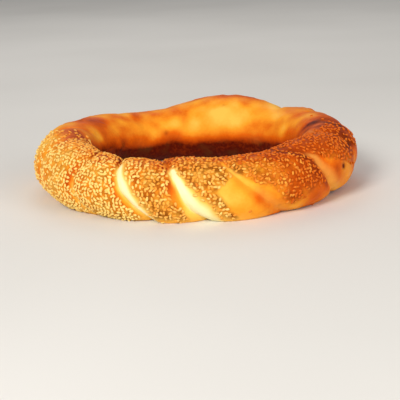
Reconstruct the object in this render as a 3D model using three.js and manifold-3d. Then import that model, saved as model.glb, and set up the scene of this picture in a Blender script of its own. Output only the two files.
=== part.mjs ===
import * as THREE from "three";
import { ParametricGeometry } from "three/addons/geometries/ParametricGeometry.js";
import { mergeVertices } from "three/addons/utils/BufferGeometryUtils.js";
import Module from "manifold-3d";

// A simit: two strands of dough twisted round each other, joined into a ring, rolled in sesame seeds
// and baked lying flat. Lengths are in millimetres and angles in degrees, with +Z up.
// A turn is the way round the ring from its front, at -Y, towards +X.
// A tube angle goes round the dough: 0 is outwards, 90 up, 180 towards the hole and -90 down.
// A groove angle is the way across one strand: 0 in a groove, and plus or minus 90 on the crests beside it.

// Ring
const CENTRE_RADIUS = 73; // from the middle of the hole to the middle of the dough
const TUBE_RADIUS = 16.1; // mean radius of the twisted dough
const CREST_RISE = 0.9; // by which a strand's crest stands over the mean radius
const BASE_SHARE = 0.88; // height of the dough's middle, as a share of its radius: the rest is baked flat
const BOX_SHIFT = { x: -0.56, y: -0.25 }; // moves the uneven ring so that its box is centred on the origin

// Grooves between the strands
const LOBE_DEPTH = 2; // by which a round strand falls away from its crest to the groove
const NOTCH_DEPTH = 1.8; // further depth of the narrow notch in the groove
const NOTCH_STEEP = 7; // groove angle taken by the notch's steep side
const NOTCH_GENTLE = 17; // and by its gentle side, which is the stretched flank of the next strand
const NOTCH_POWER = 1.3; // sharpness of the notch
const GROOVE_MIDDLE = 10; // tube angle of the middle of a groove's open part
const GROOVE_FADE = 75; // tube angle over which the depth fades beyond a groove's reach
const GROOVE_LEAST = 0.06; // share of the depth that is left in the hole and underneath

// Each seam is where a groove passes the outside of the ring: its turn and its share of the groove depth,
// the lag, by which its top end leans back from an even twist, the sweep, by which its low end runs on, the
// reach, which is the tube angle on each side of the middle with that depth, and the groove angles on its
// two sides that are bare of seeds, because the dough stretched there after it was rolled in them.
const SEAMS = [
  { turn: -46, depth: 0.6, lag: 110, sweep: 0, reach: 75, bare: [0, 8] },
  { turn: -24.8, depth: 1, lag: 11, sweep: 34, reach: 75, bare: [12, 34] },
  { turn: -5.3, depth: 1.1, lag: 33, sweep: 0, reach: 62, bare: [16, 48] },
  { turn: 20.3, depth: 0.45, lag: -25, sweep: 5, reach: 75, bare: [85, 45] },
  { turn: 48.1, depth: 0.7, lag: 36, sweep: 20, reach: 75, bare: [10, 90] },
  { turn: 75, depth: 0.7, lag: 25, sweep: 0, reach: 60, bare: [8, 14] },
  { turn: 98, depth: 0.5, lag: 25, sweep: 0, reach: 55, bare: [8, 14] },
  { turn: 120, depth: 0.3, lag: 25, sweep: 0, reach: 50, bare: [8, 14] },
  { turn: 143, depth: 0.5, lag: 25, sweep: 0, reach: 45, bare: [8, 14] },
  { turn: 173, depth: 0.6, lag: 25, sweep: 0, reach: 20, bare: [8, 14] },
  { turn: 203, depth: 0.8, lag: 25, sweep: 0, reach: 25, bare: [8, 14] },
  { turn: 227, depth: 0.8, lag: 25, sweep: 0, reach: 30, bare: [8, 14] },
  { turn: 249, depth: 0.7, lag: 25, sweep: 0, reach: 40, bare: [8, 14] },
  { turn: 270, depth: 0.5, lag: 40, sweep: 0, reach: 50, bare: [8, 14] },
  { turn: 291, depth: 0.35, lag: 80, sweep: 0, reach: 60, bare: [8, 14] },
];

// Unevenness of the hand-rolled dough, each as the turn of its middle, its spread and its size
const SWELLS = [
  { turn: 163, spread: 22, size: 4.1 }, // the thick far side
  { turn: 124, spread: 14, size: 0.6 },
  { turn: 204, spread: 15, size: -0.9 },
  { turn: 0, spread: 20, size: 0.2 },
  { turn: -30, spread: 16, size: -0.8 },
  { turn: 65, spread: 30, size: 0.5 },
  { turn: -128, spread: 28, size: 0.7 },
];
const BENDS = [
  { turn: 163, spread: 24, size: -2 }, // where the ring's middle line runs closer to the hole
  { turn: -90, spread: 40, size: -1.2 },
  { turn: 100, spread: 25, size: -0.9 },
];
const LIFTS = [
  { turn: -85, spread: 35, size: 2 }, // where the dough bakes a little higher or lower
  { turn: 80, spread: 35, size: 2 },
  { turn: 112, spread: 16, size: 1.6 },
  { turn: 15, spread: 9, size: -1 },
  { turn: 5, spread: 35, size: -1 },
];

// Facets of the ring
const COLUMNS_PER_SEAM = 8;
const COLUMN_POWER = 1.6; // over 1, it brings the columns closer together at a groove
const ROWS = 22; // round the dough

// Sesame seeds
const SEED_LENGTH = 2.8;
const SEED_WIDTH = 1.6;
const SEED_THICKNESS = 1.2;
const SEED_TAPER = 0.3; // by which the pointed end is narrower and the round end wider
const SEED_PROUD = 0.15; // share of the thickness by which a seed's middle stands over the crust
const SEED_SPACING = 10.3; // between the places for seeds
const SEED_JITTER = 0.4; // share of the spacing by which a place is moved at random
const SEEDED_TURN = 118; // the seeds reach this far to each side of the front
const SEED_FADE = 30; // and thin out over this last stretch
const SEEDED_TUBE = [-55, 132]; // lowest tube angle outside to the highest towards the hole
const BARE_UP_TO = 75; // above this tube angle the seeds run over the grooves too
const RAY_START = 10; // height over the crust from which a seed is set down
const FIRST_DRAW = 20; // start of the random draws
const UPRIGHT = new THREE.Vector3(0, 0, 1);

const CORRECTIONS = 30; // rounds in which a place along the twist is worked out

const CRUST_COLOUR = 0xd98a35;

const wasm = await Module();
wasm.setup();

const rad = THREE.MathUtils.degToRad;
const clamp = THREE.MathUtils.clamp;

// Wraps an angle into -180 to 180
function wrapped(angle) {
  return THREE.MathUtils.euclideanModulo(angle + 180, 360) - 180;
}

// Smooth periodic curve through values that stand one apart (Catmull-Rom)
function cyclic(values, x) {
  const first = Math.floor(x);
  const f = x - first;
  const at = (step) => values[THREE.MathUtils.euclideanModulo(first + step, values.length)];
  const [a, b, c, d] = [-1, 0, 1, 2].map(at);
  return b + 0.5 * f * (c - a + f * (2 * a - 5 * b + 4 * c - d + f * (3 * (b - c) + d - a)));
}

// Sum of the bell-shaped changes at one turn
function uneven(turn, changes) {
  return changes.reduce((sum, change) => {
    const away = wrapped(turn - change.turn) / change.spread;
    return sum + change.size * Math.exp(-away * away);
  }, 0);
}

// The seam count t goes round the ring and is a whole number at each seam
const EVEN_STEP = 360 / SEAMS.length;
const SEAM_SHIFTS = SEAMS.map((seam, index) => seam.turn - EVEN_STEP * index);
const SEAM_LAGS = SEAMS.map((seam) => seam.lag);
const SEAM_SWEEPS = SEAMS.map((seam) => seam.sweep);

function turnAt(t) {
  return EVEN_STEP * t + cyclic(SEAM_SHIFTS, t);
}

// By how much a groove's line leads the seam count at a tube angle: half a seam for each quarter of the
// dough, less the lag, which counts fully at the top, and the sweep, which counts fully at the bottom
function twist(t, tube) {
  const rise = Math.sin(rad(tube));
  const lag = cyclic(SEAM_LAGS, t) * 0.5 * rise * (rise + 1);
  const sweep = cyclic(SEAM_SWEEPS, t) * 0.5 * rise * (rise - 1);
  return (tube - lag - sweep) / 180;
}

// Seam count at which a groove's line is met at a tube angle, by repeated correction
function seamCount(line, tube) {
  let t = line - tube / 180;
  for (let round = 0; round < CORRECTIONS; round++) t = line - twist(t, tube);
  return t;
}

// Share of its full depth that a groove has at a tube angle
function grooveShare(seam, tube) {
  const past = clamp(Math.abs(tube - GROOVE_MIDDLE) - seam.reach, 0, GROOVE_FADE) / GROOVE_FADE;
  const open = 0.5 * (1 + Math.cos(Math.PI * past));
  return THREE.MathUtils.lerp(GROOVE_LEAST, seam.depth, open);
}

// Groove angle of a line, which counts the grooves across the strands
function grooveAngle(line) {
  return (line - Math.round(line)) * 180;
}

// How far the surface lies under the crest on a line
function grooveDepth(line, tube) {
  const across = grooveAngle(line);
  const seam = SEAMS[THREE.MathUtils.euclideanModulo(Math.round(line), SEAMS.length)];
  const width = across < 0 ? NOTCH_STEEP : NOTCH_GENTLE;
  const lobe = LOBE_DEPTH * (1 - Math.abs(Math.sin(rad(across))));
  const notch = NOTCH_DEPTH * Math.exp(-((Math.abs(across) / width) ** NOTCH_POWER));
  return (lobe + notch) * grooveShare(seam, tube);
}

// Point of the crust on a line and at a tube angle. What would reach under the floor is flat on it.
function crustPoint(line, tube, target) {
  const turn = turnAt(seamCount(line, tube));
  const mean = TUBE_RADIUS + uneven(turn, SWELLS);
  const radius = mean + CREST_RISE - grooveDepth(line, tube);
  const outward = CENTRE_RADIUS + uneven(turn, BENDS) + radius * Math.cos(rad(tube));
  const height = BASE_SHARE * mean + uneven(turn, LIFTS) + radius * Math.sin(rad(tube));
  return target.set(
    outward * Math.sin(rad(turn)) + BOX_SHIFT.x,
    -outward * Math.cos(rad(turn)) + BOX_SHIFT.y,
    Math.max(height, 0),
  );
}

// Line of a column, from 0 to 1 once over all the seams, with the columns closer together at the grooves
function columnLine(share) {
  const line = share * SEAMS.length;
  const seam = Math.round(line);
  const away = 2 * (line - seam);
  return seam + 0.5 * Math.sign(away) * Math.abs(away) ** COLUMN_POWER;
}

// Ring of dough. Its columns follow the grooves, so after one round of the dough they meet two seams on.
function makeRing() {
  const slices = SEAMS.length * COLUMNS_PER_SEAM;
  const surface = (u, v, target) => crustPoint(columnLine(u), 360 * v - 180, target);
  return positionOnly(new ParametricGeometry(surface, slices, ROWS));
}

// One seed, long along X: a drop with a pointed and a round end
function makeSeed() {
  const seed = new THREE.IcosahedronGeometry(1, 0);
  const place = seed.getAttribute("position");
  for (let i = 0; i < place.count; i++) {
    const width = 1 - SEED_TAPER * place.getX(i);
    place.setXYZ(
      i,
      (place.getX(i) * SEED_LENGTH) / 2,
      (place.getY(i) * width * SEED_WIDTH) / 2,
      (place.getZ(i) * width * SEED_THICKNESS) / 2,
    );
  }
  return positionOnly(seed);
}

// Geometry with its shared vertices merged, so that it is one closed mesh
function positionOnly(geometry) {
  geometry.deleteAttribute("normal");
  geometry.deleteAttribute("uv");
  return mergeVertices(geometry, 1e-3);
}

function toSolid(geometry) {
  return new wasm.Manifold(
    new wasm.Mesh({
      numProp: 3,
      vertProperties: new Float32Array(geometry.getAttribute("position").array),
      triVerts: new Uint32Array(geometry.index.array),
    }),
  );
}

function toGeometry(solid) {
  const { vertProperties, triVerts } = solid.getMesh();
  const geometry = new THREE.BufferGeometry();
  geometry.setAttribute("position", new THREE.BufferAttribute(vertProperties, 3));
  geometry.setIndex(new THREE.BufferAttribute(triVerts, 1));
  geometry.computeVertexNormals();
  return geometry;
}

// Places for seeds as far apart as they can be: rows round the dough, each shifted half a step from the last
function seedPlaces() {
  const rowAngle = THREE.MathUtils.radToDeg((SEED_SPACING * Math.sqrt(3)) / 2 / TUBE_RADIUS);
  const rows = Math.ceil((SEEDED_TUBE[1] - SEEDED_TUBE[0]) / rowAngle);
  const places = [];
  for (let row = 0; row < rows; row++) {
    const tube = SEEDED_TUBE[0] + (row + 0.5) * rowAngle;
    const outward = CENTRE_RADIUS + TUBE_RADIUS * Math.cos(rad(tube));
    const step = THREE.MathUtils.radToDeg(SEED_SPACING / outward);
    const columns = Math.floor((2 * SEEDED_TURN) / step);
    for (let column = 0; column < columns; column++) {
      const turn = (column + 0.5 * (row % 2) - 0.5 * columns) * step;
      places.push({ turn: turn + step * jitter(), tube: tube + rowAngle * jitter() });
    }
  }
  return places;
}

function jitter() {
  return SEED_JITTER * (THREE.MathUtils.seededRandom() - 0.5);
}

// Line of the grooves through a turn and a tube angle
function lineThrough(turn, tube) {
  let t = turn / EVEN_STEP;
  for (let round = 0; round < CORRECTIONS; round++) t = (turn - cyclic(SEAM_SHIFTS, t)) / EVEN_STEP;
  return t + twist(t, tube);
}

// Groove angle from one seam, beyond the next seams too, the short way round the ring
function pastSeam(line, index) {
  const half = SEAMS.length / 2;
  return (THREE.MathUtils.euclideanModulo(line - index + half, SEAMS.length) - half) * 180;
}

// Whether a seed lies here: not in a bare stretch beside a groove, and fewer towards the far side
function isSeeded(turn, tube, line, chance) {
  const inBare = ({ bare: [before, after] }, index) => {
    const past = pastSeam(line, index);
    return past > -before && past < after;
  };
  const bare = tube < BARE_UP_TO && SEAMS.some(inBare);
  return !bare && chance < (SEEDED_TURN - Math.abs(turn)) / SEED_FADE;
}

// Place and slope of the facet under a point of the crust, looked for from outside towards the dough's middle
function facetUnder(crust, turn, tube, line) {
  const point = crustPoint(line, tube, new THREE.Vector3());
  const middle = new THREE.Vector3(Math.sin(rad(turn)), -Math.cos(rad(turn)), 0);
  middle.multiplyScalar(CENTRE_RADIUS).setZ(TUBE_RADIUS);
  const inward = middle.sub(point).normalize();
  const ray = new THREE.Raycaster(point.addScaledVector(inward, -RAY_START), inward);
  const [hit] = ray.intersectObject(crust);
  return { place: hit.point, slope: hit.face.normal };
}

// Seed laid flat on a facet, turned by a share of half a turn
function laySeed(seed, { place, slope }, spin) {
  const lie = new THREE.Quaternion().setFromUnitVectors(UPRIGHT, slope);
  lie.multiply(new THREE.Quaternion().setFromAxisAngle(UPRIGHT, Math.PI * spin));
  const seat = place.addScaledVector(slope, SEED_PROUD * SEED_THICKNESS);
  return seed.clone().applyQuaternion(lie).translate(seat.x, seat.y, seat.z);
}

// Ring with the seeds fused to it. Each place takes two draws: whether it has a seed, and its direction.
function seedRing(ring) {
  const crust = new THREE.Mesh(ring);
  const seed = makeSeed();
  THREE.MathUtils.seededRandom(FIRST_DRAW);
  let solid = toSolid(ring);
  for (const { turn, tube } of seedPlaces()) {
    const line = lineThrough(turn, tube);
    const chance = THREE.MathUtils.seededRandom();
    const spin = THREE.MathUtils.seededRandom();
    if (isSeeded(turn, tube, line, chance)) {
      solid = solid.add(toSolid(laySeed(seed, facetUnder(crust, turn, tube, line), spin)));
    }
  }
  return solid;
}

const crustMaterial = new THREE.MeshStandardMaterial({ color: CRUST_COLOUR, roughness: 0.5, metalness: 0 });
const simit = new THREE.Mesh(toGeometry(seedRing(makeRing())), crustMaterial);
simit.name = "simit";

const part = new THREE.Group();
part.add(simit);

export default part;
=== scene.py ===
"""A simit: a ring of two twisted strands of dough, baked golden, with sesame seeds over its near side.

Lengths are in metres and angles in degrees, with +Z up. A turn is the way round the ring from its front,
at -Y, towards +X. A tube angle goes round the dough: 0 is outwards, 90 up, 180 towards the hole and -90
down. A line counts the grooves: it is a whole number all along each groove, so (line, tube) are the two
parameters of the crust's surface, and a groove angle is the way across a strand, 0 in the groove and plus
or minus 90 on the crests beside it.
"""
import logging
import math
from dataclasses import dataclass, field
from enum import Enum

import bpy
import numpy as np
from mathutils import Matrix, Vector


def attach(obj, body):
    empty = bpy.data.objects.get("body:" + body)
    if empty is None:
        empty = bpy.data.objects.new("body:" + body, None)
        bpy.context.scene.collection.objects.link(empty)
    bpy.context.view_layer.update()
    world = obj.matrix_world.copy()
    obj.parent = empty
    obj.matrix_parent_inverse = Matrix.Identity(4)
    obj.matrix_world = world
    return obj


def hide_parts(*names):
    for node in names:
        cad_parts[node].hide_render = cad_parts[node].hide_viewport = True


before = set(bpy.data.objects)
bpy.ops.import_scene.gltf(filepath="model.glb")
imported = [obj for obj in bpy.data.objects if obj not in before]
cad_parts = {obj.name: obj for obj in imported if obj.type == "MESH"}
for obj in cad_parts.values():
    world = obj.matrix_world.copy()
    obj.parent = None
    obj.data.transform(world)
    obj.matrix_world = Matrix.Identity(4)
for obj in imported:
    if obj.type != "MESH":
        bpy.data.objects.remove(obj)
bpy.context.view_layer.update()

NODE = "simit"
BODY = "root"
MM = 0.001
MIX_AXES = np.array([73856093, 19349663, 83492791])
MIX_START = 40503
MIX_FACTOR = 1274126177
LOW_BITS = 0xFFFF
MIDDLE_OF_NOISE = (0.3, 0.7)

Array = np.ndarray
Colour = tuple[float, float, float]
Socket = bpy.types.NodeSocket
LOG = logging.getLogger("simit")


class Channel(Enum):
    """Vertex attributes that carry a look from the shape to its material."""

    PALE = "pale"
    BAKE = "bake"
    # carries the painted shade between the seeds to the crust
    SEED_GAP_SHADE = "seeded"
    SPOT = "spot"
    TOAST = "toast"


@dataclass(frozen=True)
class Bell:
    """A bell-shaped change over an angle: its middle, its spread in degrees and its size."""

    middle: float
    spread: float
    size: float

    def at(self, angle: Array) -> Array:
        """Size times e to the power of minus the squared distance in spreads, the short way round."""
        return self.size * np.exp(-((wrapped(angle - self.middle) / self.spread) ** 2))


@dataclass(frozen=True)
class Step:
    """A smooth change between two angles: none at the first, and its whole size at the last.

    Where the last angle is the smaller one, the change grows towards smaller angles.
    """

    first: float
    last: float
    size: float = 1.0

    def at(self, angle: Array) -> Array:
        """The change at each angle."""
        return self.size * smooth_step(angle, self.first, self.last)


@dataclass(frozen=True)
class Noise:
    """Soft noise in space: the size of its cells, the number that picks its pattern and its strength."""

    cell: float
    start: int
    strength: float = 1.0

    def at(self, points: Array) -> Array:
        """The noise at each point, from about minus to plus the strength."""
        return self.strength * soft_noise(points, self.cell, self.start)


@dataclass(frozen=True)
class Seam:
    """A groove, by where it passes the outside of the ring.

    depth is its share of the full depth. lag is how far its top end leans back from an even twist, and
    sweep how far its low end runs on. reach is the tube angle on each side of its middle over which it is
    fully open. pale is the strength of the light band where the dough stretched, pale_start the tube angle
    of its upper end, and pale_top and pale_low are its groove angles there and low outside. bare_left and
    bare_right are the groove angles without seeds on its two sides, low outside.
    """

    turn: float
    depth: float
    lag: float
    sweep: float = 0.0
    reach: float = 75.0
    pale: float = 0.0
    pale_start: float = 80.0
    pale_top: float = 10.0
    pale_low: float = 20.0
    bare_left: float = 8.0
    bare_right: float = 14.0


@dataclass(frozen=True)
class Spot:
    """A small mark in the crust: its place, its radius, its depth and how dark it is."""

    turn: float
    tube: float
    radius: float
    depth: float
    dark: float


def smooth_step(value: Array, low: float, high: float) -> Array:
    """Rises from 0 at low to 1 at high along a smooth cubic."""
    share = np.clip((value - low) / (high - low), 0.0, 1.0)
    return share * share * (3.0 - 2.0 * share)


def wrapped(angle: Array) -> Array:
    """Brings an angle into -180 to 180."""
    return (angle + 180.0) % 360.0 - 180.0


def cyclic(values: Array, place: Array) -> Array:
    """Smooth periodic curve through values that stand one apart.

    Between two values it is the Catmull-Rom cubic through them and their two neighbours.

    Args:
        values: one value for each whole number.
        place: where to read the curve.

    Returns:
        The curve's value at each place.
    """
    first = np.floor(place).astype(int)
    part = place - first
    a, b, c, d = (values[(first + step) % len(values)] for step in (-1, 0, 1, 2))
    return b + 0.5 * part * (c - a + part * (2 * a - 5 * b + 4 * c - d + part * (3 * (b - c) + d - a)))


def lattice(corner: Array, start: int) -> Array:
    """A fixed random value from -1 to 1 for each whole-number corner, by mixing its bits."""
    mixed = corner @ MIX_AXES + start * MIX_START
    mixed = (mixed ^ (mixed >> 13)) * MIX_FACTOR
    mixed = mixed ^ (mixed >> 16)
    return (mixed & LOW_BITS) / (LOW_BITS / 2.0) - 1.0


def soft_noise(points: Array, cell: float, start: int) -> Array:
    """Smooth noise in space, from about -1 to 1.

    Each point takes the fixed random values of its cell's eight corners, blended by smooth steps.

    Args:
        points: places, one row each.
        cell: size of a cell.
        start: picks the pattern.

    Returns:
        The noise at each point.
    """
    scaled = points / cell
    corner = np.floor(scaled).astype(np.int64)
    blend = smooth_step(scaled - corner, 0.0, 1.0)
    total = np.zeros(points.shape[:-1])
    for offset in np.ndindex(2, 2, 2):
        weight = np.prod(np.where(np.array(offset) == 1, blend, 1.0 - blend), axis=-1)
        total += weight * lattice(corner + np.array(offset), start)
    return total


@dataclass
class RingShape:
    """The twisted ring as a surface of a groove line and a tube angle, with the same sizes as the solid."""

    centre_radius: float = 73.0 * MM
    tube_radius: float = 16.1 * MM
    crest_rise: float = 0.9 * MM
    base_share: float = 0.88
    shift: tuple[float, float] = (-0.56 * MM, -0.25 * MM)
    lobe_depth: float = 2.0 * MM
    notch_depth: float = 1.8 * MM
    notch_steep: float = 7.0
    notch_gentle: float = 17.0
    notch_power: float = 1.3
    groove_middle: float = 10.0
    groove_fade: float = 75.0
    groove_least: float = 0.06
    corrections: int = 30
    seams: list[Seam] = field(default_factory=lambda: [
        Seam(-46.0, 0.6, 110.0, pale=0.45, pale_start=20.0, pale_top=5.0, pale_low=26.0,
             bare_left=0.0, bare_right=4.0),
        Seam(-24.8, 1.0, 11.0, sweep=34.0, pale=1.0, pale_start=86.0, pale_top=42.0, pale_low=62.0,
             bare_right=30.0),
        Seam(-5.3, 1.1, 33.0, reach=62.0, pale=1.0, pale_start=78.0, pale_top=16.0, pale_low=66.0,
             bare_left=18.0, bare_right=40.0),
        Seam(20.3, 0.45, -25.0, sweep=5.0, pale=0.12, pale_low=24.0, bare_left=88.0, bare_right=36.0),
        Seam(48.1, 0.7, 36.0, sweep=20.0, pale=0.23, pale_start=64.0, pale_low=38.0, bare_right=90.0),
        Seam(75.0, 0.7, 25.0, reach=60.0),
        Seam(98.0, 0.5, 25.0, reach=55.0),
        Seam(120.0, 0.3, 25.0, reach=50.0),
        Seam(143.0, 0.5, 25.0, reach=45.0),
        Seam(173.0, 0.6, 25.0, reach=20.0),
        Seam(203.0, 0.8, 25.0, reach=25.0),
        Seam(227.0, 0.8, 25.0, reach=30.0),
        Seam(249.0, 0.7, 25.0, reach=40.0),
        Seam(270.0, 0.5, 40.0, reach=50.0),
        Seam(291.0, 0.35, 80.0, reach=60.0, bare_left=0.0, bare_right=0.0),
    ])
    swells: list[Bell] = field(default_factory=lambda: [
        Bell(163.0, 22.0, 4.1 * MM),
        Bell(124.0, 14.0, 0.6 * MM),
        Bell(204.0, 15.0, -0.9 * MM),
        Bell(0.0, 20.0, 0.2 * MM),
        Bell(-30.0, 16.0, -0.8 * MM),
        Bell(65.0, 30.0, 0.5 * MM),
        Bell(-128.0, 28.0, 0.7 * MM),
    ])
    bends: list[Bell] = field(default_factory=lambda: [
        Bell(163.0, 24.0, -2.0 * MM),
        Bell(-90.0, 40.0, -1.2 * MM),
        Bell(100.0, 25.0, -0.9 * MM),
    ])
    lifts: list[Bell] = field(default_factory=lambda: [
        Bell(-85.0, 35.0, 2.0 * MM),
        Bell(80.0, 35.0, 2.0 * MM),
        Bell(112.0, 16.0, 1.6 * MM),
        Bell(15.0, 9.0, -1.0 * MM),
        Bell(5.0, 35.0, -1.0 * MM),
    ])

    def __post_init__(self) -> None:
        """Works out the even step between seams, each seam's shift from it, and its numbers as arrays."""
        self.even_step = 360.0 / len(self.seams)
        rows = np.array([(seam.turn, seam.lag, seam.sweep, seam.depth, seam.reach) for seam in self.seams])
        turns, self.seam_lags, self.seam_sweeps, self.seam_depths, self.seam_reaches = rows.T
        self.seam_shifts = turns - self.even_step * np.arange(len(self.seams))

    @staticmethod
    def uneven(turn: Array, bells: list[Bell]) -> Array:
        """Sum of the bells at each turn."""
        return sum(bell.at(turn) for bell in bells)

    def turn_at(self, count: Array) -> Array:
        """Turn at a seam count, which is a whole number where each groove passes the outside."""
        return self.even_step * count + cyclic(self.seam_shifts, count)

    def twist(self, count: Array, tube: Array) -> Array:
        """By how much a line leads the seam count: the tube angle less lag and sweep, in half rounds.

        The lag counts fully at the top and the sweep at the bottom, each by its own square of the height.
        """
        rise = np.sin(np.radians(tube))
        lag = cyclic(self.seam_lags, count) * 0.5 * rise * (1.0 + rise)
        sweep = cyclic(self.seam_sweeps, count) * 0.5 * rise * (rise - 1.0)
        return (tube - lag - sweep) / 180.0

    def seam_count(self, line: Array, tube: Array) -> Array:
        """Seam count at which a line is met at a tube angle, by repeated correction."""
        count = line - tube / 180.0
        for _ in range(self.corrections):
            count = line - self.twist(count, tube)
        return count

    def turn_on(self, line: Array, tube: Array) -> Array:
        """Turn of the place on a line at a tube angle."""
        return self.turn_at(self.seam_count(line, tube))

    def line_through(self, turn: Array, tube: Array) -> Array:
        """Line through a turn and a tube angle, by repeated correction."""
        count = turn / self.even_step
        for _ in range(self.corrections):
            count = (turn - cyclic(self.seam_shifts, count)) / self.even_step
        return count + self.twist(count, tube)

    def groove_depth(self, line: Array, tube: Array) -> Array:
        """How far the surface lies under the crest.

        A round lobe falls by one minus the sine of the groove angle. A notch is added, whose depth falls
        off as e to a power of the groove angle, faster on its steep side. Both fade into the hole and
        underneath along half a cosine.

        Args:
            line: groove line of each place.
            tube: tube angle of each place.

        Returns:
            The depth at each place.
        """
        across = (line - np.round(line)) * 180.0
        width = np.where(across < 0.0, self.notch_steep, self.notch_gentle)
        lobe = self.lobe_depth * (1.0 - np.abs(np.sin(np.radians(across))))
        notch = self.notch_depth * np.exp(-((np.abs(across) / width) ** self.notch_power))
        seam = np.round(line).astype(int) % len(self.seams)
        past = np.clip(np.abs(tube - self.groove_middle) - self.seam_reaches[seam], 0.0, self.groove_fade)
        opened = 0.5 * (1.0 + np.cos(np.pi * past / self.groove_fade))
        depth = self.seam_depths[seam]
        return (lobe + notch) * (self.groove_least + (depth - self.groove_least) * opened)

    def smooth_points(self, line: Array, tube: Array) -> Array:
        """Points of the even crust.

        A circle of the dough's radius stands on the ring's circle at each turn, lowered by the groove's
        depth. What would reach under the floor is flat on it.

        Args:
            line: groove line of each place.
            tube: tube angle of each place.

        Returns:
            One row of x, y and z for each place.
        """
        turn = self.turn_on(line, tube)
        mean = self.tube_radius + self.uneven(turn, self.swells)
        radius = mean + self.crest_rise - self.groove_depth(line, tube)
        round_dough = np.radians(tube)
        outward = self.centre_radius + self.uneven(turn, self.bends) + radius * np.cos(round_dough)
        height = self.base_share * mean + self.uneven(turn, self.lifts) + radius * np.sin(round_dough)
        round_ring = np.radians(turn)
        x = outward * np.sin(round_ring) + self.shift[0]
        y = -outward * np.cos(round_ring) + self.shift[1]
        return np.stack([x, y, np.maximum(height, 0.0)], axis=-1)

    def slopes(self, line: Array, tube: Array) -> tuple[Array, Array]:
        """Unit normals and directions of growing line, from small steps on the even crust."""
        line_step, tube_step = 0.004, 0.6
        along = self.smooth_points(line + line_step, tube) - self.smooth_points(line - line_step, tube)
        around = self.smooth_points(line, tube + tube_step) - self.smooth_points(line, tube - tube_step)
        normal = unit(np.cross(along, around))
        return normal, unit(along)


def unit(vectors: Array) -> Array:
    """Vectors of length one."""
    return vectors / np.maximum(np.linalg.norm(vectors, axis=-1, keepdims=True), 1e-12)


@dataclass
class Places:
    """Places on the crust: their groove lines, their tube angles, the points there and their turns."""

    ring: RingShape
    line: Array
    tube: Array
    points: Array
    turn: Array = field(init=False)

    def __post_init__(self) -> None:
        """Works out the turns."""
        self.turn = wrapped(self.ring.turn_on(self.line, self.tube))

    def past_seam(self, index: int) -> Array:
        """Groove angle from one seam, beyond the next seams too, the short way round the ring."""
        count = len(self.ring.seams)
        return ((self.line - index + count / 2.0) % count - count / 2.0) * 180.0


@dataclass
class CrustRelief:
    """The crust's small unevenness, pressed into the even surface: lumps, blisters and marks."""

    lump_cells: tuple[float, ...] = (13.0 * MM, 6.0 * MM, 2.6 * MM)
    lump_depths: tuple[float, ...] = (0.34 * MM, 0.17 * MM, 0.06 * MM)
    blisters: int = 300
    blister_tubes: tuple[float, float] = (-50.0, 200.0)
    blister_radius: tuple[float, float] = (1.0 * MM, 2.8 * MM)
    blister_rise: float = 0.16
    sink: float = 0.3 * MM
    start: int = 7
    spots: list[Spot] = field(default_factory=lambda: [
        Spot(-162.5, 164.0, 1.4 * MM, 0.2 * MM, 0.5),
        Spot(162.0, 128.0, 1.1 * MM, 0.15 * MM, 0.25),
        Spot(-105.0, 60.0, 1.5 * MM, 0.2 * MM, 0.5),
        Spot(-112.0, 95.0, 1.2 * MM, 0.2 * MM, 0.45),
        Spot(57.5, 7.0, 1.35 * MM, 0.5 * MM, 1.9),
        Spot(24.5, -42.0, 0.7 * MM, 0.3 * MM, 0.4),
        Spot(27.5, -32.0, 0.6 * MM, 0.3 * MM, 0.35),
    ])

    def heights(self, ring: RingShape, points: Array) -> Array:
        """Height of the relief over the even crust.

        It is layered soft noise, plus a dome for each blister and a pit for each spot, both falling off
        as e to minus the squared distance in radii, all sunk so that little stands over the even crust.

        Args:
            ring: the shape that the relief lies on.
            points: places on the even crust.

        Returns:
            The height at each place.
        """
        total = np.full(len(points), -self.sink)
        for layer, (cell, depth) in enumerate(zip(self.lump_cells, self.lump_depths)):
            total += depth * soft_noise(points, cell, self.start + layer)
        draw = np.random.default_rng(self.start)
        turn = draw.uniform(-180.0, 180.0, self.blisters)
        tube = draw.uniform(*self.blister_tubes, self.blisters)
        radius = draw.uniform(*self.blister_radius, self.blisters)
        centre = ring.smooth_points(ring.line_through(turn, tube), tube)
        for place, size in zip(centre, radius):
            away = np.sum((points - place) ** 2, axis=-1) / size**2
            total += self.blister_rise * size * np.exp(-away)
        for spot in self.spots:
            total -= spot.depth * self.spot_share(ring, points, spot)
        return total

    @staticmethod
    def spot_share(ring: RingShape, points: Array, spot: Spot) -> Array:
        """One in the middle of a spot, falling off as e to minus the squared distance in radii."""
        turn, tube = np.array([spot.turn]), np.array([spot.tube])
        centre = ring.smooth_points(ring.line_through(turn, tube), tube)[0]
        return np.exp(-np.sum((points - centre) ** 2, axis=-1) / spot.radius**2)

    def marks(self, ring: RingShape, points: Array) -> Array:
        """Darkness of the spots at each point."""
        return sum(spot.dark * self.spot_share(ring, points, spot) for spot in self.spots)


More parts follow.
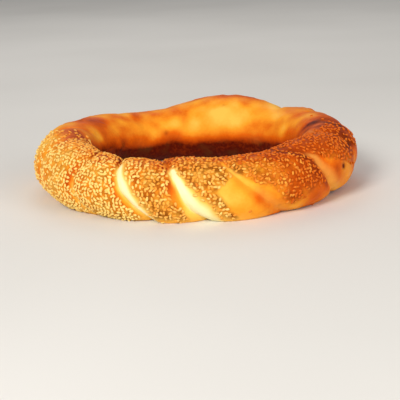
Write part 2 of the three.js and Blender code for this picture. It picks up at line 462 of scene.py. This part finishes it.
@dataclass
class Browning:
    """How brown the crust is, as a sum of shares, most of them for one region each; some of them are
    painted shade or painted light.
    """

    least: float = 0.25
    near_side: Step = Step(125.0, 95.0)
    front: Step = Step(88.0, 62.0)
    # partly baked tone and partly painted shade: browner to the right of the front
    right_side_bake_and_shade: Step = Step(10.0, 46.0, 0.46)
    right_side_end: Step = Step(128.0, 88.0)
    # partly baked tone and partly painted light: lighter at the near side's left
    left_side_bake_and_light: Step = Step(-20.0, -50.0, -0.08)
    far_left: Bell = Bell(-122.0, 26.0, 0.08)
    # painted shade: browner on the steep side of each strand, where it falls into a groove
    steep_edge_shade: Bell = Bell(-15.0, 13.0, 0.34)
    steep_edge_shade_height: Step = Step(-60.0, 20.0)
    # partly baked tone and partly painted shade: browner on the near side's top
    crown_bake_and_shade: Step = Step(45.0, 88.0, 0.30)
    crown_end: Step = Step(140.0, 105.0)
    crown_right: Step = Step(24.0, 62.0, -0.9)
    foot: Step = Step(-12.0, -48.0, -0.20)
    foot_right: Step = Step(2.0, 30.0, -0.5)
    far_top: Step = Step(40.0, 90.0, 0.17)
    far_top_end: Step = Step(140.0, 110.0)
    far_outside: Step = Step(90.0, 40.0, 0.13)
    # painted shade: browner low in the hole, where shade falls on the inner wall
    hole: Step = Step(71.0, 16.0, 0.84)
    hole_shade_tube: float = 222.0
    # painted shade at the left end: the hole's shade reaches higher there and the hole-side wall is browner
    left_end_shade: Bell = Bell(-78.0, 30.0, 1.0)
    left_end_hole_shade: float = 22.0
    left_wall_shade: Step = Step(62.0, 18.0, 0.46)
    left_wall_shade_tube: float = 145.0
    right_end: Bell = Bell(64.0, 15.0, -0.37)
    right_end_height: Step = Step(50.0, 14.0)
    right_end_tube: float = -18.0
    under: Step = Step(45.0, 5.0, 0.38)
    under_tube: float = -95.0
    patches: tuple[Noise, ...] = (Noise(16.0 * MM, 51, 0.20), Noise(6.0 * MM, 52, 0.19))
    far_patches: float = 1.25
    hole_calm: float = 0.9

    def share(self, places: Places) -> Array:
        """How brown each place is.

        Browner to the right of the front and on the near side's top, partly baked tone and partly painted
        shade.
        Browner low in the hole and on its wall at the left end, which is painted shade, and at the steep
        edge of each strand beside a groove, which is painted shade in the groove. Browner underneath, and
        on the far side's top, outside and left. Lighter at the near side's left, partly baked tone and
        partly painted light, and at its foot, and outside at the right end. Soft patches lie over it,
        stronger on the far side and weaker low in the hole.

        Args:
            places: the places to look up.

        Returns:
            The share from 0, light gold, to 1, deep brown.
        """
        turn, tube = places.turn, places.tube
        seam = np.round(places.line)
        across = (places.line - seam) * 180.0
        depth = places.ring.seam_depths[seam.astype(int) % len(places.ring.seams)]
        # painted shade in each groove, on the strand's steep side
        edge = self.steep_edge_shade.at(across) * depth
        near = self.near_side.at(np.abs(turn))
        far = 1.0 - near
        # where the painted shade of the hole and its wall at the left end lies
        left_end_shade = self.left_end_shade.at(turn)
        # painted shade low in the hole, reaching higher at the left end
        hole = self.hole.at(np.abs(wrapped(tube - self.hole_shade_tube)) - self.left_end_hole_shade * left_end_shade)
        patches = sum(patch.at(places.points) for patch in self.patches)
        shares = (
            self.least,
            self.right_side_bake_and_shade.at(turn) * self.right_side_end.at(turn),
            self.left_side_bake_and_light.at(turn) * near,
            self.far_left.at(turn),
            edge * self.front.at(np.abs(turn)) * self.steep_edge_shade_height.at(tube),
            self.crown_bake_and_shade.at(tube) * self.crown_end.at(tube) * near * (1.0 + self.crown_right.at(turn)),
            self.foot.at(tube) * (1.0 + self.foot_right.at(turn)) * near,
            self.far_top.at(tube) * self.far_top_end.at(tube) * far,
            self.far_outside.at(np.abs(tube)) * far,
            hole,
            self.left_wall_shade.at(np.abs(wrapped(tube - self.left_wall_shade_tube))) * left_end_shade,
            self.right_end.at(turn) * self.right_end_height.at(np.abs(tube - self.right_end_tube)),
            self.under.at(np.abs(wrapped(tube - self.under_tube))),
            patches * (near + self.far_patches * far) * (1.0 - self.hole_calm * hole),
        )
        return np.clip(sum(shares), 0.0, 1.0)


@dataclass
class Looks:
    """Where the crust is pale or seeded, and how much painted shade lies between the seeds, as functions of
    the place on it.
    """

    pale_noise: Noise = Noise(5.0 * MM, 31)
    pale_ragged_across: float = 4.0
    pale_ragged_end: float = 8.0
    pale_bottom: Step = Step(-110.0, -70.0)
    pale_end: float = 20.0
    pale_widest: float = -25.0
    pale_edge: Step = Step(-9.0, 7.0)
    pale_fade: tuple[float, float] = (0.35, 1.3)
    patches: Noise = Noise(12.0 * MM, 41)
    fine_patches: Noise = Noise(4.5 * MM, 43)
    ragged: tuple[float, float] = (9.0, 5.0)
    ragged_seam: float = 0.7
    left_limit: Step = Step(-100.0, -76.0)
    right_limit: Step = Step(100.0, 76.0)
    inner_tube: float = 138.0
    inner_changes: tuple[Step, ...] = (Step(-45.0, -75.0, 18.0), Step(42.0, 92.0, -46.0))
    inner_edge: Step = Step(6.0, -12.0)
    lowest_tube: float = -62.0
    lowest_changes: tuple[Step, ...] = (
        Step(-34.0, -18.0, 14.0), Step(18.0, 50.0, 42.0), Step(55.0, 80.0, 30.0))
    lowest_edge: Step = Step(-8.0, 14.0)
    clear_of_pale: Step = Step(0.6, 0.25)
    bare_height: Step = Step(48.0, 5.0)
    bare_top: float = 0.05
    bare_left_edge: Step = Step(-9.0, 5.0)
    bare_right_edge: Step = Step(14.0, -6.0)
    bare_least: float = 2.0
    sparse: tuple[Step, ...] = (Step(-44.0, -78.0, 0.55), Step(8.0, 36.0, 0.22), Step(54.0, 80.0, 0.25))
    sparse_change: float = 0.4
    full: float = 0.95
    full_change: float = 0.05
    strays: Step = Step(110.0, 100.0, 0.006)
    # strength of the painted shade between the seeds, on the left and growing to the right
    gap_shade_left: float = 0.55
    gap_shade_right: Step = Step(-45.0, -10.0, 0.40)

    def pale(self, places: Places) -> Array:
        """Strength of the light bands.

        Each band rises quickly at its groove's bottom and fades out over the gentle flank. Its width
        changes smoothly from the top to low outside, and its edges and top end are ragged.

        Args:
            places: the places to look up.

        Returns:
            The strength from 0 to 1.
        """
        rough = self.pale_noise.at(places.points)
        bottom = self.pale_bottom.at(places.tube)
        total = np.zeros(len(places.line))
        for index, seam in enumerate(places.ring.seams):
            if seam.pale <= 0.0:
                continue
            past = places.past_seam(index) + self.pale_ragged_across * rough
            low_share = Step(seam.pale_start, self.pale_widest).at(places.tube)
            width = seam.pale_top + (seam.pale_low - seam.pale_top) * low_share
            top_end = Step(seam.pale_start, seam.pale_start - self.pale_end)
            inside = bottom * top_end.at(places.tube + self.pale_ragged_end * rough)
            fade = 1.0 - smooth_step(past, self.pale_fade[0] * width, self.pale_fade[1] * width)
            total = np.maximum(total, seam.pale * self.pale_edge.at(past) * fade * inside)
        return total

    def seeded(self, places: Places) -> Array:
        """Share of the crust that seeds cover.

        Nearly full on the near side, sparser towards both its ends, faded towards the far side, the hole
        and the floor, and none on the light bands or in each seam's bare stretch, whose width grows down
        the outside. Soft noise makes the edges ragged, and a few strays lie outside them.

        Args:
            places: the places to look up.

        Returns:
            The share from 0 to 1.
        """
        turn, tube = places.turn, places.tube
        rough = self.patches.at(places.points)
        ragged = self.ragged[0] * rough + self.ragged[1] * self.fine_patches.at(places.points)
        inner = self.inner_tube + sum(change.at(turn) for change in self.inner_changes)
        lowest = self.lowest_tube + sum(change.at(turn) for change in self.lowest_changes)
        clear = self.clear_of_pale.at(self.pale(places))
        cover = self.left_limit.at(turn + ragged) * self.right_limit.at(turn + ragged) * clear
        cover = cover * self.inner_edge.at(tube + ragged - inner)
        cover = cover * self.lowest_edge.at(tube + ragged - lowest)
        bare_share = self.bare_top + (1.0 - self.bare_top) * self.bare_height.at(tube)
        for index, seam in enumerate(places.ring.seams):
            past = places.past_seam(index) + self.ragged_seam * ragged
            left, right = seam.bare_left * bare_share, seam.bare_right * bare_share
            inside = self.bare_left_edge.at(past + left) * self.bare_right_edge.at(past - right)
            cover = cover * (1.0 - inside * (left + right > self.bare_least))
        sparse = sum(step.at(turn) for step in self.sparse) * (1.0 + self.sparse_change * rough)
        cover = cover * (self.full + self.full_change * rough - sparse)
        return np.maximum(cover, self.strays.at(np.abs(turn)) * clear)

    def painted_gap_shade(self, places: Places) -> Array:
        """Painted shade between the seeds: how much the crust darkens there, with their cover, and less to
        the left.
        """
        return self.seeded(places) * (self.gap_shade_left + self.gap_shade_right.at(places.turn))


@dataclass(frozen=True)
class Grain:
    """Noise of a finish: its cells to the metre, its layers and the roughness from layer to layer."""

    scale: float
    detail: float
    rough: float


@dataclass(frozen=True)
class CrustFinish:
    """Glazed golden crust: a ramp from light gold to deep brown, butter to cream where it stretched.

    Between the seeds it is darker, by a ramp of its own, which is painted shade between the seeds. The
    spots are dark brown.
    """

    name: str = "golden_crust"
    light: Colour = (0.95, 0.50, 0.075)
    golden: Colour = (0.90, 0.34, 0.022)
    orange: Colour = (0.70, 0.120, 0.003)
    russet: Colour = (0.44, 0.052, 0.0015)
    # the deep brown end of the ramp is reached mostly low in the hole, where it is painted shade
    brown: Colour = (0.085, 0.0035, 0.0005)
    butter: Colour = (0.96, 0.66, 0.14)
    cream: Colour = (0.98, 0.90, 0.52)
    spot: Colour = (0.13, 0.009, 0.001)
    # darker crust colours between the seeds: painted shade
    gap_shade_colour: Colour = (0.28, 0.085, 0.006)
    orange_gap_shade: Colour = (0.44, 0.100, 0.004)
    dark_gap_shade: Colour = (0.33, 0.040, 0.002)
    crust_places: tuple[float, ...] = (0.05, 0.32, 0.62, 0.82, 1.0)
    gap_shade_places: tuple[float, ...] = (0.20, 0.37, 0.62)
    pale_places: tuple[float, ...] = (0.45, 0.95)
    pale_whole: float = 0.8
    mottle: Grain = Grain(95.0, 4.0, 0.55)
    speck: Grain = Grain(620.0, 3.0, 0.6)
    gap_shade_grain: Grain = Grain(240.0, 3.0, 0.6)
    pores: Grain = Grain(2300.0, 2.0, 0.5)
    mottle_bake: float = 0.26
    speck_bake: float = 0.16
    mottle_pale: float = 0.12
    gap_shade_range: tuple[float, float, float, float] = (0.40, 0.62, 0.5, 1.2)
    roughness: tuple[float, float] = (0.40, 0.62)
    specular: float = 0.08
    gloss: Colour = (1.0, 0.74, 0.34)
    bump_shares: tuple[float, float] = (0.6, 0.4)
    bump_strength: float = 0.35
    bump_distance: float = 0.35 * MM

    def material(self) -> bpy.types.Material:
        """The crust's material, from its vertex attributes and noise on Object coordinates."""
        nodes = NodeChain(self.name)
        mottle, speck = nodes.noise(self.mottle), nodes.noise(self.speck)
        bake = nodes.math("ADD", nodes.attribute(Channel.BAKE), nodes.centred(mottle, self.mottle_bake))
        bake = nodes.math("ADD", bake, nodes.centred(speck, self.speck_bake))
        browning = (self.light, self.golden, self.orange, self.russet, self.brown)
        colour = nodes.ramp(bake, self.crust_places, browning)
        # painted shade between the seeds: a darker ramp mixed in by their cover
        between = nodes.ramp(bake, self.gap_shade_places, (self.gap_shade_colour, self.orange_gap_shade, self.dark_gap_shade))
        uneven = nodes.remap(nodes.noise(self.gap_shade_grain), *self.gap_shade_range)
        shade = nodes.mix(nodes.math("MULTIPLY", nodes.attribute(Channel.SEED_GAP_SHADE), uneven), colour, between)
        pale = nodes.math("ADD", nodes.attribute(Channel.PALE), nodes.centred(mottle, self.mottle_pale))
        stretched = nodes.ramp(pale, self.pale_places, (self.butter, self.cream))
        creamy = nodes.mix(nodes.remap(pale, 0.0, self.pale_whole, 0.0, 1.0), shade, stretched)
        nodes.plug(nodes.mix(nodes.attribute(Channel.SPOT), creamy, self.spot), "Base Color")
        nodes.plug(nodes.remap(mottle, *MIDDLE_OF_NOISE, *self.roughness), "Roughness")
        nodes.plug(self.specular, "Specular IOR Level")
        nodes.plug(self.gloss, "Specular Tint")
        coarse = nodes.math("MULTIPLY", speck, self.bump_shares[0])
        fine = nodes.math("MULTIPLY", nodes.noise(self.pores), self.bump_shares[1])
        nodes.bump(nodes.math("ADD", coarse, fine), self.bump_strength, self.bump_distance)
        return nodes.material


@dataclass(frozen=True)
class SesameFinish:
    """Toasted sesame: each seed has its own tone, from pale tan to orange brown."""

    name: str = "toasted_sesame"
    pale: Colour = (0.90, 0.64, 0.19)
    tan: Colour = (0.84, 0.35, 0.045)
    toasted: Colour = (0.64, 0.125, 0.008)
    tone_places: tuple[float, ...] = (0.05, 0.5, 0.95)
    fleck: Grain = Grain(1500.0, 3.0, 0.6)
    fleck_tone: float = 0.22
    roughness: tuple[float, float] = (0.40, 0.55)
    specular: float = 0.12
    gloss: Colour = (1.0, 0.78, 0.42)
    bump_strength: float = 0.2
    bump_distance: float = 0.2 * MM

    def material(self) -> bpy.types.Material:
        """The seeds' material, from each seed's tone and fine noise on Object coordinates."""
        nodes = NodeChain(self.name)
        fleck = nodes.noise(self.fleck)
        tone = nodes.math("ADD", nodes.attribute(Channel.TOAST), nodes.centred(fleck, self.fleck_tone))
        nodes.plug(nodes.ramp(tone, self.tone_places, (self.pale, self.tan, self.toasted)), "Base Color")
        nodes.plug(nodes.remap(fleck, *MIDDLE_OF_NOISE, *self.roughness), "Roughness")
        nodes.plug(self.specular, "Specular IOR Level")
        nodes.plug(self.gloss, "Specular Tint")
        nodes.bump(fleck, self.bump_strength, self.bump_distance)
        return nodes.material


@dataclass(frozen=True)
class FloorFinish:
    """Plain pale floor, very faintly uneven in tone."""

    name: str = "pale_floor"
    light: Colour = (0.80, 0.79, 0.77)
    dark: Colour = (0.76, 0.75, 0.73)
    tone_places: tuple[float, ...] = (0.4, 0.6)
    cloud: Grain = Grain(3.0, 2.0, 0.5)
    roughness: float = 0.75

    def material(self) -> bpy.types.Material:
        """The floor's material."""
        nodes = NodeChain(self.name)
        tone = nodes.ramp(nodes.noise(self.cloud), self.tone_places, (self.light, self.dark))
        nodes.plug(tone, "Base Color")
        nodes.plug(self.roughness, "Roughness")
        return nodes.material


class NodeChain:
    """Builds one material's nodes, each method adding a node and returning its output."""

    def __init__(self, name: str) -> None:
        """Starts a material of that name, with only its shader, its output and Object coordinates."""
        self.material = bpy.data.materials.new(name)
        self.material.use_nodes = True
        self.tree = self.material.node_tree
        self.shader = self.tree.nodes["Principled BSDF"]
        self.place = self.tree.nodes.new("ShaderNodeTexCoord").outputs["Object"]

    def link(self, source: Socket | float | Colour, target: Socket) -> None:
        """Feeds a socket from another one, or sets it to a number or colour."""
        if isinstance(source, Socket):
            self.tree.links.new(source, target)
        elif isinstance(source, tuple):
            target.default_value = (*source, 1.0)
        else:
            target.default_value = source

    def plug(self, source: Socket | float | Colour, name: str) -> None:
        """Feeds one of the shader's own sockets, or sets it to a number or colour."""
        self.link(source, self.shader.inputs[name])

    def attribute(self, channel: Channel) -> Socket:
        """Reads a vertex attribute."""
        node = self.tree.nodes.new("ShaderNodeAttribute")
        node.attribute_name = channel.value
        return node.outputs["Fac"]

    def noise(self, grain: Grain) -> Socket:
        """Noise on Object coordinates."""
        node = self.tree.nodes.new("ShaderNodeTexNoise")
        self.tree.links.new(self.place, node.inputs["Vector"])
        node.inputs["Scale"].default_value = grain.scale
        node.inputs["Detail"].default_value = grain.detail
        node.inputs["Roughness"].default_value = grain.rough
        return node.outputs["Fac"]

    def math(self, operation: str, first: Socket | float, second: Socket | float) -> Socket:
        """Joins two numbers by an operation."""
        node = self.tree.nodes.new("ShaderNodeMath")
        node.operation = operation
        self.link(first, node.inputs[0])
        self.link(second, node.inputs[1])
        return node.outputs[0]

    def centred(self, source: Socket, factor: float) -> Socket:
        """A number less a half, times a factor."""
        return self.math("MULTIPLY", self.math("ADD", source, -0.5), factor)

    def remap(self, source: Socket, low: float, high: float, to_low: float, to_high: float) -> Socket:
        """A number moved from one range to another, held at its ends."""
        node = self.tree.nodes.new("ShaderNodeMapRange")
        for value, name in zip((low, high, to_low, to_high), ("From Min", "From Max", "To Min", "To Max")):
            node.inputs[name].default_value = value
        self.link(source, node.inputs["Value"])
        return node.outputs["Result"]

    def ramp(self, source: Socket, places: tuple[float, ...], colours: tuple[Colour, ...]) -> Socket:
        """A colour ramp.

        Args:
            source: the number that is looked up.
            places: each colour's place on the ramp, from low to high.
            colours: the colours there.

        Returns:
            The colour output.
        """
        node = self.tree.nodes.new("ShaderNodeValToRGB")
        elements = node.color_ramp.elements
        while len(elements) < len(places):
            elements.new(0.5)
        for element, place, colour in zip(elements, places, colours):
            element.position = place
            element.color = (*colour, 1.0)
        self.link(source, node.inputs["Fac"])
        return node.outputs["Color"]

    def mix(self, share: Socket, first: Socket | Colour, second: Socket | Colour) -> Socket:
        """Blends two colours by a share, which is held from 0 to 1."""
        node = self.tree.nodes.new("ShaderNodeMix")
        node.data_type = "RGBA"
        self.link(share, node.inputs["Factor"])
        self.link(first, node.inputs["A"])
        self.link(second, node.inputs["B"])
        return node.outputs["Result"]

    def bump(self, height: Socket, strength: float, distance: float) -> None:
        """Feeds the shader's normal from a height."""
        node = self.tree.nodes.new("ShaderNodeBump")
        node.inputs["Strength"].default_value = strength
        node.inputs["Distance"].default_value = distance
        self.link(height, node.inputs["Height"])
        self.plug(node.outputs["Normal"], "Normal")


def make_piece(name: str, points: Array, faces: Array, channels: dict[Channel, Array]) -> bpy.types.Object:
    """Makes a smooth mesh object at the origin.

    Args:
        name: the object's name.
        points: one row of x, y and z for each vertex.
        faces: one row of vertex numbers for each face.
        channels: one number for each vertex, by attribute.

    Returns:
        The object, linked to the scene.
    """
    mesh = bpy.data.meshes.new(name)
    mesh.from_pydata(points, [], faces)
    for channel, values in channels.items():
        layer = mesh.attributes.new(channel.value, "FLOAT", "POINT")
        layer.data.foreach_set("value", values.astype(np.float32))
    mesh.polygons.foreach_set("use_smooth", np.ones(len(faces), dtype=bool))
    mesh.update()
    piece = bpy.data.objects.new(name, mesh)
    bpy.context.scene.collection.objects.link(piece)
    return piece


@dataclass
class Crust:
    """The baked dough: a fine closed grid over the ring's surface, whose columns follow the grooves."""

    ring: RingShape
    relief: CrustRelief
    looks: Looks
    browning: Browning
    finish: CrustFinish
    columns_per_seam: int = 40
    column_power: float = 1.4
    rows: int = 160

    def grid(self) -> tuple[Array, Array]:
        """Line and tube angle of each vertex.

        Columns stand closer together at the grooves: half the way between two seams, taken from 0 to 1,
        is raised to a power over 1. Rows are even round the dough.

        Returns:
            The lines and the tube angles, columns first.
        """
        even = np.arange(len(self.ring.seams) * self.columns_per_seam) / self.columns_per_seam
        seam = np.round(even)
        away = 2.0 * (even - seam)
        lines = seam + 0.5 * np.sign(away) * np.abs(away) ** self.column_power
        tubes = 360.0 * np.arange(self.rows) / self.rows - 180.0
        line, tube = np.meshgrid(lines, tubes, indexing="ij")
        return line.ravel(), tube.ravel()

    def faces(self) -> Array:
        """Quads of the grid, closed both ways: one round of the dough comes back two seams further on."""
        columns = len(self.ring.seams) * self.columns_per_seam
        column, row = np.meshgrid(np.arange(columns), np.arange(self.rows), indexing="ij")

        def vertex(at_column: Array, at_row: Array) -> Array:
            """Number of a vertex, with the row after the last taken two seams back on the first."""
            over = at_row == self.rows
            back = np.where(over, at_column - 2 * self.columns_per_seam, at_column) % columns
            return back * self.rows + np.where(over, 0, at_row)

        corners = [(0, 0), (1, 0), (1, 1), (0, 1)]
        return np.stack([vertex(column + c, row + r).ravel() for c, r in corners], axis=-1)

    def surface(self, line: Array, tube: Array) -> tuple[Array, Array, Array]:
        """The uneven crust: the even one moved by the relief along its normals, and not under the floor.

        Args:
            line: groove line of each place.
            tube: tube angle of each place.

        Returns:
            The points, their unit normals and the unit directions along the strand.
        """
        even = self.ring.smooth_points(line, tube)
        normal, along = self.ring.slopes(line, tube)
        points = even + normal * self.relief.heights(self.ring, even)[:, None]
        points[:, 2] = np.maximum(points[:, 2], 0.0)
        return points, normal, along

    def build(self) -> bpy.types.Object:
        """Makes the crust, which stands for the whole solid."""
        line, tube = self.grid()
        points, _, _ = self.surface(line, tube)
        places = Places(self.ring, line, tube, points)
        channels = {
            Channel.PALE: self.looks.pale(places),
            Channel.BAKE: self.browning.share(places),
            Channel.SEED_GAP_SHADE: self.looks.painted_gap_shade(places),
            Channel.SPOT: self.relief.marks(self.ring, points),
        }
        piece = make_piece("crust", points, self.faces(), channels)
        piece.data.materials.append(self.finish.material())
        return place_piece(piece)


@dataclass
class SesameSeeds:
    """Sesame seeds lying on the crust, each a small drop-shaped mesh, joined into one piece."""

    crust: Crust
    finish: SesameFinish
    length: float = 2.2 * MM
    width: float = 1.35 * MM
    thickness: float = 0.8 * MM
    taper: float = 0.34
    rings: int = 3
    sides: int = 6
    spacing: float = 2.05 * MM
    size_change: float = 0.18
    tilt: float = 9.0
    proud: tuple[float, float] = (0.05 * MM, 0.32 * MM)
    lowest_tube: float = -75.0
    highest_tube: float = 165.0
    jitter: float = 0.2
    palest: float = 0.04
    # partly toasting and partly painted light and shade: seeds palest on the left and darker to the right
    right_toast_and_shade: tuple[Step, ...] = (Step(-28.0, -8.0, 0.33), Step(4.0, 46.0, 0.64))
    # partly toasting and partly painted shade: seeds darker on the top and towards the hole
    top_toast_and_shade: Step = Step(42.0, 95.0, 0.42)
    toast_patch: Noise = Noise(12.0 * MM, 61, 0.16)
    toast_change: float = 0.14
    start: int = 11

    def drop(self) -> tuple[Array, Array]:
        """One seed of unit half sizes, long along x.

        Rings of points stand at even angles from pole to pole. Each ring's radius is the sine of its
        angle, made narrower towards the pointed end by the taper.

        Returns:
            The points and the triangles.
        """
        angle = np.pi * np.arange(1, self.rings + 1) / (self.rings + 1)
        x = -np.cos(angle)
        radius = np.sin(angle) * (1.0 - self.taper * x)
        around = 2.0 * np.pi * np.arange(self.sides) / self.sides
        body = np.stack([
            np.repeat(x, self.sides),
            np.outer(radius, np.cos(around)).ravel(),
            np.outer(radius, np.sin(around)).ravel(),
        ], axis=-1)
        points = np.vstack([[-1.0, 0.0, 0.0], body, [1.0, 0.0, 0.0]])
        side = np.arange(self.sides)
        after = (side + 1) % self.sides
        faces = [np.stack([np.zeros_like(side), 1 + after, 1 + side], axis=-1)]
        for ring in range(self.rings - 1):
            low, high = 1 + ring * self.sides, 1 + (ring + 1) * self.sides
            faces.append(np.stack([low + side, low + after, high + side], axis=-1))
            faces.append(np.stack([low + after, high + after, high + side], axis=-1))
        last = 1 + (self.rings - 1) * self.sides
        faces.append(np.stack([last + side, last + after, np.full_like(side, len(points) - 1)], axis=-1))
        return points, np.vstack(faces)

    def scatter(self) -> tuple[Array, Array]:
        """Where the seeds lie.

        Places stand in rows round the dough, each row with as many as its girth holds and shifted by half
        a step from the last, so that they are as far apart as they can be. Each is then moved a little at
        random, and kept by chance in the share of the crust that is covered there.

        Returns:
            The line and tube angle of each seed.
        """
        ring = self.crust.ring
        draw = np.random.default_rng(self.start)
        row_step = self.spacing * math.sqrt(3.0) / 2.0
        row_angle = math.degrees(row_step / ring.tube_radius)
        rows = np.arange(int((self.highest_tube - self.lowest_tube) / row_angle))
        row_tube = self.lowest_tube + rows * row_angle
        outward = ring.centre_radius + ring.tube_radius * np.cos(np.radians(row_tube))
        in_row = np.round(2.0 * np.pi * outward / self.spacing).astype(int)
        row = np.repeat(rows, in_row)
        number = np.arange(len(row)) - np.repeat(np.cumsum(in_row) - in_row, in_row)
        moved = draw.normal(0.0, self.jitter, (2, len(row)))
        turn = 360.0 * (number + 0.5 * (row % 2) + moved[0]) / in_row[row] - 180.0
        tube = row_tube[row] + row_angle * moved[1]
        line = ring.line_through(turn, tube)
        cover = self.crust.looks.seeded(Places(ring, line, tube, ring.smooth_points(line, tube)))
        kept = draw.uniform(0.0, 1.0, len(row)) < cover
        LOG.info("%d seeds on %d places", kept.sum(), len(row))
        return line[kept], tube[kept]

    def toast(self, places: Places, draw: np.random.Generator) -> Array:
        """Tone of each seed.

        Darker to the right, in two steps, and on the top and towards the hole, with soft patches and a
        chance of its own for each seed. The pale left and dark right, and the darker top and hole side, are
        partly toasting and partly painted light and shade.

        Args:
            places: where the seeds lie.
            draw: source of the chances.

        Returns:
            The tone from 0, pale, to 1, toasted.
        """
        base = self.palest + sum(step.at(places.turn) for step in self.right_toast_and_shade)
        chance = draw.normal(0.0, self.toast_change, len(places.turn))
        tone = base + self.top_toast_and_shade.at(places.tube) + self.toast_patch.at(places.points) + chance
        return np.clip(tone, 0.0, 1.0)

    def build(self) -> bpy.types.Object:
        """Makes all the seeds at once: the drop's points times each seed's sizes and directions."""
        line, tube = self.scatter()
        points, normal, along = self.crust.surface(line, tube)
        draw = np.random.default_rng(self.start + 1)
        count = len(line)
        spin = draw.uniform(0.0, 2.0 * np.pi, count)
        side = unit(np.cross(normal, along))
        forward = unit(np.cross(side, normal))
        long_way = np.cos(spin)[:, None] * forward + np.sin(spin)[:, None] * side
        lean = np.radians(draw.normal(0.0, self.tilt, count))[:, None]
        long_way = unit(np.cos(lean) * long_way + np.sin(lean) * normal)
        wide_way = unit(np.cross(normal, long_way))
        up_way = np.cross(long_way, wide_way)
        size = 1.0 + draw.uniform(-self.size_change, self.size_change, (3, count, 1))
        axes = np.stack([
            long_way * size[0] * self.length / 2.0,
            wide_way * size[1] * self.width / 2.0,
            up_way * size[2] * self.thickness / 2.0,
        ], axis=1)
        shape, triangles = self.drop()
        middle = points + normal * draw.uniform(*self.proud, count)[:, None]
        vertices = middle[:, None, :] + np.einsum("pk,skc->spc", shape, axes)
        vertices[..., 2] = np.maximum(vertices[..., 2], 0.0)
        faces = triangles[None, :, :] + (np.arange(count) * len(shape))[:, None, None]
        tone = self.toast(Places(self.crust.ring, line, tube, points), draw)
        channels = {Channel.TOAST: np.repeat(tone, len(shape))}
        piece = make_piece("sesame_seeds", vertices.reshape(-1, 3), faces.reshape(-1, 3), channels)
        piece.data.materials.append(self.finish.material())
        return place_piece(piece)


def place_piece(piece: bpy.types.Object) -> bpy.types.Object:
    """Rides a finished piece on the part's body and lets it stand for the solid."""
    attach(piece, BODY)
    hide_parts(NODE)
    return piece


@dataclass(frozen=True)
class Lamp:
    """A soft square light: where it stands, its side, its power and its colour."""

    name: str
    place: tuple[float, float, float]
    side: float
    power: float
    colour: Colour = (1.0, 1.0, 1.0)


@dataclass
class Studio:
    """Plain pale floor, soft lights and the camera at the photograph's viewing angle."""

    floor_finish: FloorFinish
    floor_side: float = 12.0
    target: tuple[float, float, float] = (-0.56 * MM, -0.25 * MM, 15.0 * MM)
    distance: float = 0.600
    elevation: float = 12.2
    roll: float = -2.0
    aim_right: float = 2.5 * MM
    aim_down: float = 24.2 * MM
    lens: float = 96.9
    sensor: float = 36.0
    sky: Colour = (1.0, 0.98, 0.95)
    sky_strength: float = 0.36
    lamps: tuple[Lamp, ...] = (
        Lamp("key_light", (-0.55, -1.10, 0.75), 0.45, 16.0, (1.0, 0.96, 0.90)),
        Lamp("fill_light", (0.90, -0.95, 0.42), 0.80, 7.0, (1.0, 0.96, 0.90)),
        Lamp("back_light", (-0.10, 0.90, 0.85), 0.60, 2.0, (1.0, 0.97, 0.93)),
    )

    def add_floor(self) -> None:
        """Makes the floor, a square at the height that the part rests on."""
        half = self.floor_side / 2.0
        corners = np.array([(-half, -half, 0.0), (half, -half, 0.0), (half, half, 0.0), (-half, half, 0.0)])
        floor = make_piece("floor", corners, np.array([[0, 1, 2, 3]]), {})
        floor.data.materials.append(self.floor_finish.material())

    def add_sky(self) -> None:
        """Fills the scene with even light."""
        world = bpy.data.worlds.new("studio")
        world.use_nodes = True
        background = world.node_tree.nodes["Background"]
        background.inputs["Color"].default_value = (*self.sky, 1.0)
        background.inputs["Strength"].default_value = self.sky_strength
        bpy.context.scene.world = world

    def add_lamps(self) -> None:
        """Makes the soft lights, each turned towards the part."""
        for lamp in self.lamps:
            data = bpy.data.lights.new(lamp.name, "AREA")
            data.size = lamp.side
            data.energy = lamp.power
            data.color = lamp.colour
            light = bpy.data.objects.new(lamp.name, data)
            light.location = lamp.place
            aim = Vector(self.target) - Vector(lamp.place)
            light.rotation_euler = aim.to_track_quat("-Z", "Y").to_euler()
            bpy.context.scene.collection.objects.link(light)

    def add_camera(self) -> None:
        """Stands the camera in front of the ring, a little above it, aimed just under it and rolled."""
        slope = math.radians(self.elevation)
        back = Vector((0.0, -math.cos(slope), math.sin(slope)))
        upright = Vector((0.0, math.sin(slope), math.cos(slope)))
        tip = math.radians(self.roll)
        level = Vector((1.0, 0.0, 0.0))
        right = level * math.cos(tip) + upright * math.sin(tip)
        above = upright * math.cos(tip) - level * math.sin(tip)
        stand = Vector(self.target) + back * self.distance
        aim = Vector(self.target) + right * self.aim_right - above * self.aim_down
        look = (stand - aim).normalized()
        side = above.cross(look).normalized()
        data = bpy.data.cameras.new("camera")
        data.lens = self.lens
        data.sensor_width = self.sensor
        camera = bpy.data.objects.new("camera", data)
        camera.rotation_euler = Matrix((side, look.cross(side), look)).transposed().to_euler()
        camera.location = stand
        bpy.context.scene.collection.objects.link(camera)
        bpy.context.scene.camera = camera

    def build(self) -> None:
        """Makes everything that isn't the part."""
        bpy.context.scene.view_settings.view_transform = "Standard"
        self.add_camera()
        self.add_floor()
        self.add_sky()
        self.add_lamps()


def main() -> None:
    """Builds the studio, the crust and the seeds in turn, and reports each piece."""
    logging.basicConfig(level=logging.INFO, format="%(name)s: %(message)s")
    Studio(FloorFinish()).build()
    crust = Crust(RingShape(), CrustRelief(), Looks(), Browning(), CrustFinish())
    for piece in (crust.build(), SesameSeeds(crust, SesameFinish()).build()):
        LOG.info("%s: %d faces", piece.name, len(piece.data.polygons))


if __name__ == "__main__":
    main()
